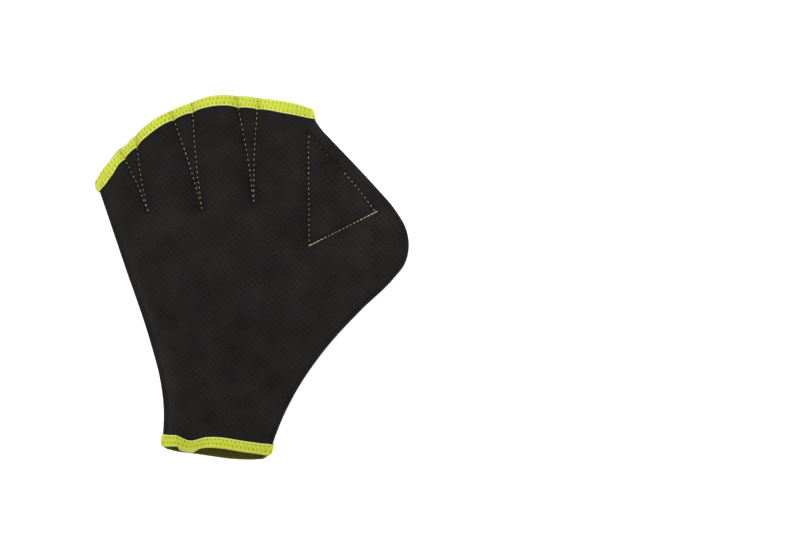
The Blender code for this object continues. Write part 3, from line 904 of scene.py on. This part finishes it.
def slant(places, heights):
    """How much more an upright gap needs where the panel's edge climbs, to stay as wide across."""
    run = np.linalg.norm(np.diff(places, axis=0), axis=1)
    steep = np.hypot(1, np.diff(heights) / np.maximum(run, MERGE_DISTANCE))
    return np.maximum(np.append(steep, 1.0), np.append(1.0, steep))


def zigzag_holes(tape, kind, seed):
    """The needle holes of a zigzag along a tape: each one's place along it, from its fold, and its depth."""
    random = np.random.default_rng(seed)
    half = kind["pitch"] / 2
    places = np.arange(half, tape.stations[-1] - 0.5 * half, half)
    widths = np.interp(places, tape.stations, tape.distance.max(axis=1))
    upper_row = np.arange(len(places)) % 2 == 0
    across = np.where(upper_row, kind["from_fold"], widths - kind["from_rim"])
    places = places + random.uniform(-0.14, 0.14, len(places))
    across = across + random.uniform(-0.16, 0.16, len(places))
    return np.column_stack([places, across, random.uniform(0.55, 1.15, len(places))])


def tape_relief(tape, holes, pinches, patched, dull):
    """How far out the tape's surface is from plain, and its tones: painted shade in its pits and creases and
    toward its fold, with dull added; how pale it is, along its rim and, as painted shading, toward its fold;
    and painted shade on its inner half.
    dull is how much darker it is all over."""
    s = tape.stations[:, None]
    d = tape.distance
    relief = np.zeros_like(d)
    shade_and_dull = np.full_like(d, dull)
    width = d.max(axis=1, keepdims=True)
    for place, across, depth in holes:
        near = np.abs(tape.stations - place) < 1.6
        pit = depth * bell(s[near] - place, 0.5) * bell(d[near] - across, 0.6)
        relief[near] -= 0.38 * pit
        # painted shade in each needle hole
        shade_and_dull[near] += 1.0 * pit
    for (s0, d0, _), (s1, d1, _) in zip(holes, holes[1:]):
        near = np.abs(tape.stations - 0.5 * (s0 + s1)) < 1.6
        run, rise = s1 - s0, d1 - d0
        share = np.clip(((s[near] - s0) * run + (d[near] - d0) * rise) / (run**2 + rise**2), 0, 1)
        pressed = bell(np.hypot(s[near] - s0 - share * run, d[near] - d0 - share * rise), 0.3)
        relief[near] -= 0.06 * pressed
        # painted shade along the groove that the thread presses between two holes
        shade_and_dull[near] += 0.14 * pressed
    relief += 0.1 * bell(d - 0.5 * width - 0.3, 1.1)
    relief += 0.14 * bell(d - width + 0.6, 0.5)
    relief += 0.05 * np.sin(s / 1.9) * np.sin(s / 3.1 + d)
    for pinch in pinches:
        draw = bell(s - pinch - 0.1 * d, 0.4) * (0.5 + 0.5 * ease(d / width, 0.2, 0.9))
        wide = bell(s - pinch - 0.1 * d, 1.3)
        relief -= 0.2 * draw + 0.15 * wide
        # painted shade in the creases where a web's stitches draw the tape down
        shade_and_dull += 0.55 * draw + 0.2 * wide
    if patched:
        cut = bell(s - CUFF_PATCH["start"] + 0.35, 0.35)
        relief += CUFF_PATCH["thick"] * patch_cover(s) - 0.16 * cut
        # painted shadow along the cut end of the patch
        shade_and_dull += 0.5 * cut
    # painted shading where the tape turns away from the light round its fold: darker and paler toward it; the
    # rim is paler too
    fold = 1 - ease(d, 0.1, 1.3)
    shade_and_dull += 0.35 * fold
    pale = bell(width - d, 0.55) + 0.8 * fold
    # painted shade on the tape's inner half
    inside_shade = ease(np.broadcast_to(1 - tape.half, d.shape), 0.35, 0.8)
    return relief, np.dstack([np.clip(shade_and_dull, 0, 1), np.clip(pale, 0, 1), inside_shade])


def bell(value, reach):
    """1 at zero and less on both sides of it, a third at the reach."""
    return np.exp(-((value / reach) ** 2))


def loft(count, size, closed):
    """Quads between the points of one section and the next, for a count of sections of the same size."""
    c, k = np.meshgrid(np.arange(count if closed else count - 1), np.arange(size), indexing="ij")
    here, there = c * size, (c + 1) % count * size
    after = (k + 1) % size
    return np.stack([here + k, here + after, there + after, there + k], axis=-1).reshape(-1, 4).tolist()


def tape_object(name, tapes, closed, surface):
    """One mesh from one tape, or a closed loop from two that meet at both ends."""
    parts = []
    for tape, relief, tone in tapes:
        depth = tape.depth + relief / TAPE * (tape.depth > 0.4)
        points = tape.under + (tape.over - tape.under) * depth[:, :, None]
        points[:, :, 2] = np.maximum(points[:, :, 2], 0.0)
        tape.shaped = points.copy()
        spot = np.dstack([np.broadcast_to(tape.stations[:, None], tape.distance.shape), tape.distance])
        # a painted shade line along the fold of an open tape
        fold_shade_line = 0.0 if closed else bell(tape.half - 0.5, FOLD_LINE) * (tape.depth > 0.9)
        parts.append([points, spot, tone, np.broadcast_to(fold_shade_line, tape.distance.shape)])
    if closed:
        above, below = parts
        for end in (0, -1):
            above[0][end] = (above[0][end] + below[0][end]) / 2
        parts = [[np.concatenate([one, two[::-1][1:-1]]) for one, two in zip(above, below)]]
    points, spot, tone, fold = parts[0]
    count, size = points.shape[:2]
    faces = loft(count, size, closed)
    if not closed:
        for column in (0, count - 1):
            faces += cap(column * size, size, column > 0)
    if tapes[0][0].side < 0:
        faces = [face[::-1] for face in faces]
    made = make_object(name, points.reshape(-1, 3), faces, surface)
    add_attribute(made, "tape_place", spot.reshape(-1, 2))
    add_attribute(made, "tape_shade_and_tone", tone.reshape(-1, 3))
    # fold holds the painted shade line along the tape's fold
    add_attribute(made, "tape_fold_shade", fold.reshape(-1))
    return made


def cap(start, size, far):
    """The cut end of the tape, as strips across its thickness."""
    outer = list(range(0, 2 * Tape.RIM + 2 * (Tape.LEG - 1) + Tape.ROUND))
    inner = list(range(len(outer), size))
    faces = []
    back = inner[::-1]
    pairs = np.linspace(0, len(back) - 1, len(outer)).round().astype(int)
    for a, b in zip(range(len(outer) - 1), range(1, len(outer))):
        one, two = back[pairs[a]], back[pairs[b]]
        face = [outer[a], outer[b], two] + ([one] if one != two else [])
        faces.append([start + i for i in (face if far else face[::-1])])
    return faces


def add_to_scene(name, data):
    made = bpy.data.objects.new(name, data)
    bpy.context.scene.collection.objects.link(made)
    return made


def make_object(name, points, faces, surface):
    """An object from points in millimetres, smooth but for its sharp edges."""
    mesh = bpy.data.meshes.new(name)
    mesh.from_pydata(((points - CENTRE) * MM).tolist(), [], faces)
    mesh.update()
    mesh.polygons.foreach_set("use_smooth", np.ones(len(mesh.polygons), bool))
    mesh.set_sharp_from_angle(angle=math.radians(50))
    mesh.materials.append(surface)
    return add_to_scene(name, mesh)


def add_attribute(made, name, values):
    """One, two or three numbers for each point, which a material reads."""
    values = np.asarray(values, np.float32)
    if values.ndim == 1:
        made.data.attributes.new(name, "FLOAT", "POINT").data.foreach_set("value", values)
        return
    padded = np.zeros((len(values), 3), np.float32)
    padded[:, : values.shape[1]] = values
    made.data.attributes.new(name, "FLOAT_VECTOR", "POINT").data.foreach_set("vector", padded.ravel())


class Threads:
    """Short lengths of thread, each a tube along a few points, gathered in one mesh."""

    SIDES = 8
    END = 0.35  # the radius at both ends, as a share of the whole

    def __init__(self):
        self.points, self.faces, self.places = [], [], []

    def lay(self, path, radius, tone=0.0):
        """Adds a tube along a path. The tone goes to its material."""
        path = np.array(path)
        run = np.gradient(path, axis=0)
        run /= np.linalg.norm(run, axis=1)[:, None]
        side = np.cross(run, (0.0, 0.0, 1.0))
        side /= np.maximum(np.linalg.norm(side, axis=1), 1e-6)[:, None]
        up = np.cross(side, run)
        along = np.append(0.0, np.cumsum(np.linalg.norm(np.diff(path, axis=0), axis=1)))
        start, count = len(self.points), len(path)
        for c in range(count):
            wide = radius * (self.END if c in (0, count - 1) else 1.0)
            for k in range(self.SIDES):
                angle = 2 * math.pi * k / self.SIDES
                swing = side[c] * math.cos(angle) + up[c] * math.sin(angle)
                self.points.append(path[c] + swing * wide)
                self.places.append((along[c], k / self.SIDES, tone))
        ring = list(range(self.SIDES))
        tube = loft(count, self.SIDES, False)
        tube += [ring, [(count - 1) * self.SIDES + k for k in ring[::-1]]]
        self.faces += [[start + corner for corner in face] for face in tube]

    def make(self, name, surface):
        made = make_object(name, np.array(self.points), self.faces, surface)
        add_attribute(made, "twist_place", np.array(self.places))
        return made


class Ground:
    """The faces of a finished piece, on which thread is laid."""

    def __init__(self, piece):
        mesh = piece.data
        places = np.zeros(3 * len(mesh.vertices), np.float32)
        mesh.vertices.foreach_get("co", places)
        faces = [tuple(face.vertices) for face in mesh.polygons]
        self.faces = BVHTree.FromPolygons(places.reshape(-1, 3).tolist(), faces)

    def height(self, x, y, side):
        """The height of the outermost face above or below a place."""
        origin = Vector(((x - CENTRE[0]) * MM, (y - CENTRE[1]) * MM, side * 0.1))
        hit = self.faces.ray_cast(origin, Vector((0, 0, -side)))[0]
        return None if hit is None else hit.z / MM


def stitch_row(threads, ground, line, side, kind, seed, sunk=None, past=0.0, fading=0.0):
    """Stitches along a line, each diving into the cloth at both ends, and some deeper than others. sunk is
    the stretch of the line whose stitches lie under the surface, past is how far the row runs on, and
    fading is how much dimmer, shorter and thinner the stitches are halfway along."""
    random = np.random.default_rng(seed)
    for middle in np.arange(kind["pitch"] / 2, line.length + past, kind["pitch"]):
        length = kind["length"] * random.uniform(0.8, 1.15)
        lift, tone, swing = random.uniform(-0.06, 0.12), random.uniform(0, 1), random.uniform(-0.12, 0.12)
        faded = fading * ease(1 - abs(2 * middle / line.length - 1), 0.15, 0.7)
        tone = (1 - fading) * tone + faded
        length *= 1 - 0.5 * faded
        radius = kind["radius"] * (1 - 0.3 * faded)
        if sunk and sunk[0] < middle < sunk[1]:
            lift, length, tone = lift - 0.2, 0.5 * length, 1.0
        path = []
        for share in np.linspace(-1, 1, 9):
            s = middle + share * length / 2
            along = min(s, line.length)
            way = line.direction(along)
            x, y = line.at(along) + way * (s - along) + left_of(way) * swing * share
            z = ground.height(x, y, side)
            if z is None:
                break
            z += side * (lift - 0.55 * abs(share) ** 4)
            path.append((x, y, max(z, kind["radius"])))
        else:
            threads.lay(path, radius, tone)


def zigzag_thread(threads, tape, holes, kind):
    """Thread from needle hole to needle hole over the outer face of a tape."""
    for (s0, d0, _), (s1, d1, deep) in zip(holes, holes[1:]):
        path = []
        for share in np.linspace(0, 1, 7):
            place, out = tape.surface(s0 + share * (s1 - s0), d0 + share * (d1 - d0))
            lift = 0.06 - 0.3 * abs(2 * share - 1) ** 4
            place = place + out * lift
            place[2] = max(place[2], kind["radius"])
            path.append(place)
        threads.lay(path, kind["radius"], deep - 0.55)


class Shader:
    """A material, with short ways to add nodes to it."""

    def __init__(self, name, roughness, specular, sheen=0.0):
        self.material = bpy.data.materials.new(name)
        self.material.use_nodes = True
        self.tree = self.material.node_tree
        self.inputs = self.tree.nodes["Principled BSDF"].inputs
        values = {"Roughness": roughness, "Specular IOR Level": specular, "Sheen Weight": sheen}
        self.fill(self.inputs, values)

    def fill(self, sockets, values):
        """Gives each named socket a fixed value or the result of another node."""
        for name, value in values.items():
            if isinstance(value, bpy.types.NodeSocket):
                self.tree.links.new(value, sockets[name])
            else:
                sockets[name].default_value = value

    def node(self, kind, values, **settings):
        made = self.tree.nodes.new("ShaderNode" + kind)
        for name, value in settings.items():
            setattr(made, name, value)
        self.fill(made.inputs, values)
        return made.outputs

    def attribute(self, name):
        return self.node("Attribute", {}, attribute_name=name)

    def split(self, vector):
        return self.node("SeparateXYZ", {"Vector": vector})[:]

    def noise(self, place, scale, detail, roughness=0.5):
        values = {"Vector": place, "Scale": scale, "Detail": detail, "Roughness": roughness}
        return self.node("TexNoise", values)

    def math(self, operation, *values):
        return self.node("Math", dict(enumerate(values)), operation=operation)[0]

    def wave(self, operation, place, pitch):
        """A sine or cosine with a wavelength."""
        return self.math(operation, self.math("MULTIPLY", place, 2 * math.pi / pitch))

    def spread(self, value, low, high, least=0.0, most=1.0):
        """From the least to the most while the value goes from low to high."""
        values = {"Value": value, "From Min": low, "From Max": high, "To Min": least, "To Max": most}
        return self.node("MapRange", values)["Result"]

    def mix(self, share, first, second, blend="MIX"):
        values = {"Factor": share, "A": first, "B": second}
        return self.node("Mix", values, data_type="RGBA", blend_type=blend)["Result"]

    def finish(self, colour, height, strength, distance):
        """Sets the colour, and the fine relief from a height."""
        relief = self.node("Bump", {"Height": height, "Strength": strength, "Distance": distance})[0]
        self.fill(self.inputs, {"Base Color": colour, "Normal": relief})
        return self.material


def fabric_material():
    """A dark knit with rows of small, slightly uneven dimples, finely grained, with painted light that makes
    it paler toward the fingers and toward the thumb.
    """
    knit = Shader("black_knit", roughness=0.85, specular=0.07, sheen=0.02)
    place = knit.attribute("knit")["Vector"]
    drift = {0: knit.noise(place, 0.35, 2.0)["Color"], 1: KNIT["drift"], 2: place}
    drifted = knit.node("VectorMath", drift, operation="MULTIPLY_ADD")[0]
    turn = {"Vector": drifted, "Angle": math.radians(KNIT["turn"])}
    across, along, _ = knit.split(knit.node("VectorRotate", turn, rotation_type="Z_AXIS")[0])
    columns = knit.wave("COSINE", across, KNIT["column"])
    rows = knit.wave("COSINE", along, KNIT["row"])
    dimples = knit.math("MULTIPLY_ADD", knit.math("MULTIPLY", columns, rows), 0.5, 0.5)
    dimples = knit.math("POWER", dimples, 2.6)
    patchy = knit.spread(knit.noise(place, 0.11, 3.0)["Fac"], 0.35, 0.65, 0.3)
    colour = knit.mix(knit.math("MULTIPLY", dimples, patchy), FABRIC_COLOUR, DOT_COLOUR)
    grain = knit.noise(place, 1.7, 3.0)["Fac"]
    blotch = knit.noise(place, 0.05, 2.0)["Fac"]
    shade = knit.spread(knit.math("MULTIPLY_ADD", blotch, 0.5, grain), 0.5, 1.0, 0.32, 1.68)
    x, y, _ = knit.split(place)
    # painted light: the knit gets paler toward the fingers and toward the thumb
    lit_toward_fingers = knit.spread(y, -20.0, 60.0, 0.97, 1.08)
    lit_toward_thumb = knit.spread(x, 15.0, 60.0, 1.0, 1.13)
    shade = knit.math("MULTIPLY", knit.math("MULTIPLY", shade, lit_toward_fingers), lit_toward_thumb)
    height = knit.math("MULTIPLY_ADD", grain, 0.5, knit.math("MULTIPLY", dimples, -1.0))
    return knit.finish(knit.mix(1.0, colour, shade, "MULTIPLY"), height, strength=0.5, distance=0.00025)


def tape_material():
    """Bright stretch tape, mottled, with fine ribs across it, with painted shade in its pits and creases,
    toward its fold and on its inner face, and paler along its rim.
    """
    tape = Shader("yellow_green_stretch_tape", roughness=0.8, specular=0.1, sheen=0.04)
    place = tape.attribute("tape_place")["Vector"]
    along, across, _ = tape.split(place)
    rows = tape.math("MULTIPLY", tape.wave("SINE", across, TAPE_ROWS), 0.2)
    weave = tape.math("MULTIPLY_ADD", tape.wave("SINE", along, TAPE_RIBS), 0.35, rows)
    grain = tape.noise(place, 1.2, 4.0, 0.7)["Fac"]
    mottle = tape.spread(grain, 0.35, 0.65)
    shade_and_dull, pale, inner_face_shade = tape.split(tape.attribute("tape_shade_and_tone")["Vector"])
    colour = tape.mix(mottle, TAPE_COLOUR, TAPE_LIGHT_COLOUR)
    # paler along the rim, and painted shading toward the fold
    colour = tape.mix(pale, colour, TAPE_RIM_AND_FOLD_SHADING_COLOUR)
    # painted shade in pits and creases and toward the fold, and the cuff tape's darker tone
    colour = tape.mix(shade_and_dull, colour, TAPE_SHADE_AND_DULL_COLOUR)
    # a painted shade line along the fold
    colour = tape.mix(tape.attribute("tape_fold_shade")["Fac"], colour, TAPE_FOLD_SHADE_COLOUR)
    ribbed = tape.math("MULTIPLY_ADD", weave, 0.3, mottle)
    # painted shade on the inner face, a little lighter along the ribs
    inner_shade_colour = tape.mix(ribbed, TAPE_INSIDE_SHADE_COLOUR, TAPE_INSIDE_SHADE_LIGHTER_COLOUR)
    colour = tape.mix(inner_face_shade, colour, inner_shade_colour)
    return tape.finish(colour, tape.math("ADD", weave, grain), strength=0.5, distance=0.00018)


def thread_material(name, shade, dim):
    """Twisted thread, each stitch between its full colour and a dim share of it, with painted shade between
    its strands.
    """
    thread = Shader(name, roughness=0.6, specular=0.2)
    along, turn, tone = thread.split(thread.attribute("twist_place")["Vector"])
    twist = thread.wave("SINE", thread.math("MULTIPLY_ADD", along, THREAD_TURNS, turn), 0.5)
    colour = thread.mix(tone, shade, darker(shade, dim))
    # painted shade in the grooves between the twisted strands
    colour = thread.mix(thread.math("MULTIPLY_ADD", twist, 0.25, 0.25), colour, darker(shade, 0.7))
    return thread.finish(colour, twist, strength=0.4, distance=0.00008)


def darker(colour, share):
    return (*(share * part for part in colour[:3]), 1.0)


def floor():
    """A plain pale floor, bright enough that it runs into the background."""
    half = FLOOR_SIZE / 2
    mesh = bpy.data.meshes.new("floor")
    corners = [(x, y, FLOOR_LEVEL) for x, y in ((-half, -half), (half, -half), (half, half), (-half, half))]
    mesh.from_pydata(corners, [], [(0, 1, 2, 3)])
    pale = Shader("pale_floor", roughness=0.9, specular=0.0)
    pale.fill(pale.inputs, {"Base Color": PALE, "Emission Color": WHITE, "Emission Strength": 0.5})
    mesh.materials.append(pale.material)
    add_to_scene("floor", mesh)


def lights():
    """Soft light from all round, and two large lamps that face the glove."""
    world = bpy.data.worlds.new("studio")
    world.use_nodes = True
    sky = world.node_tree.nodes["Background"]
    sky.inputs["Color"].default_value = WHITE
    sky.inputs["Strength"].default_value = 0.78
    bpy.context.scene.world = world
    for row in LAMPS:
        light = bpy.data.lights.new(row["name"], "AREA")
        light.size = row["size"]
        light.energy = row["power"]
        lamp = add_to_scene(row["name"], light)
        lamp.location = row["place"]
        lamp.rotation_euler = (-lamp.location).to_track_quat("-Z", "Y").to_euler()


def camera():
    """A camera that looks straight down."""
    data = bpy.data.cameras.new("camera")
    data.lens = CAMERA["lens"]
    data.sensor_width = CAMERA["sensor"]
    made = add_to_scene("camera", data)
    made.location = CAMERA["place"]
    bpy.context.scene.camera = made


def sew_webs(layer, plan, ground, threads):
    """The stitches of the V lines and of the thumb web, on one face of the glove."""
    side = 1 if layer == "upper" else -1
    seams = Threads()
    for number, line in enumerate(plan.lines):
        stitch_row(seams, ground, line, side, WEB_STITCH, SEED + number)
    inner, lower, outer = plan.sides
    stitch_row(seams, ground, inner, side, WEB_STITCH, SEED + 10)
    hidden = (0.52 * outer.length, 0.97 * outer.length)
    stitch_row(seams, ground, outer, side, WEB_STITCH, SEED + 11, sunk=hidden)
    stitching = seams.make(layer + "_web_stitches", threads["olive"])
    dense = Threads()
    stitch_row(dense, ground, lower, side, BRIGHT_STITCH, SEED + 12, past=1.5, fading=0.7)
    edge_stitching = dense.make(layer + "_thumb_web_stitches", threads["bright"])
    return [stitching, edge_stitching]


def dress_layer(layer, plan, knit, tape, threads):
    """A panel with its finger tape and all its stitches."""
    upper = layer == "upper"
    cloth = panel(layer + "_panel_cloth", plan, upper, knit)
    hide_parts(layer + "_panel")
    band = Tape(plan, plan.finger, plan.finger_index, upper)
    holes = zigzag_holes(band, ZIGZAG, SEED)
    relief, tone = tape_relief(band, holes, plan.finger.pinches, False, 0.0)
    binding = tape_object(layer + "_finger_tape", [(band, relief, tone)], False, tape)
    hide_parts(layer + "_finger_binding")
    zigzag = Threads()
    zigzag_thread(zigzag, band, holes, ZIGZAG)
    edge_zigzag = zigzag.make(layer + "_finger_tape_stitches", threads["tape"])
    sewn = [*sew_webs(layer, plan, Ground(cloth), threads), edge_zigzag]
    return [cloth, binding, *sewn]


def bind_wrist(plans, tape, thread):
    """The tape round the wrist, a closed loop from its upper and its lower half, with its stitches."""
    halves = []
    for layer, plan in plans.items():
        upper = layer == "upper"
        half = Tape(plan, plan.cuff, plan.cuff_index, upper)
        holes = zigzag_holes(half, CUFF_ZIGZAG, SEED + 1)
        halves.append((half, *tape_relief(half, holes, [], upper, CUFF_DULL), holes))
    wrist = tape_object("cuff_tape", [half[:3] for half in halves], True, tape)
    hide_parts("cuff_binding")
    zigzag = Threads()
    for half, _, _, holes in halves:
        zigzag_thread(zigzag, half, holes, CUFF_ZIGZAG)
    pieces = [wrist, zigzag.make("cuff_tape_stitches", thread)]
    return pieces


def main():
    bpy.context.scene.view_settings.view_transform = "Standard"
    camera()
    floor()
    lights()
    knit = fabric_material()
    tape = tape_material()
    threads = {
        "olive": thread_material("olive_thread", THREAD_COLOUR, 0.45),
        "bright": thread_material("bright_thread", BRIGHT_THREAD_COLOUR, 0.35),
        "tape": thread_material("tape_thread", TAPE_THREAD_COLOUR, 0.85),
    }
    plans = {"upper": Plan(UPPER_CUFF_EDGE, True), "lower": Plan(LOWER_CUFF_EDGE, False)}
    pieces = []
    for layer, plan in plans.items():
        pieces += dress_layer(layer, plan, knit, tape, threads)
    pieces += bind_wrist(plans, tape, threads["tape"])
    for piece in pieces:
        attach(piece, "root")


main()
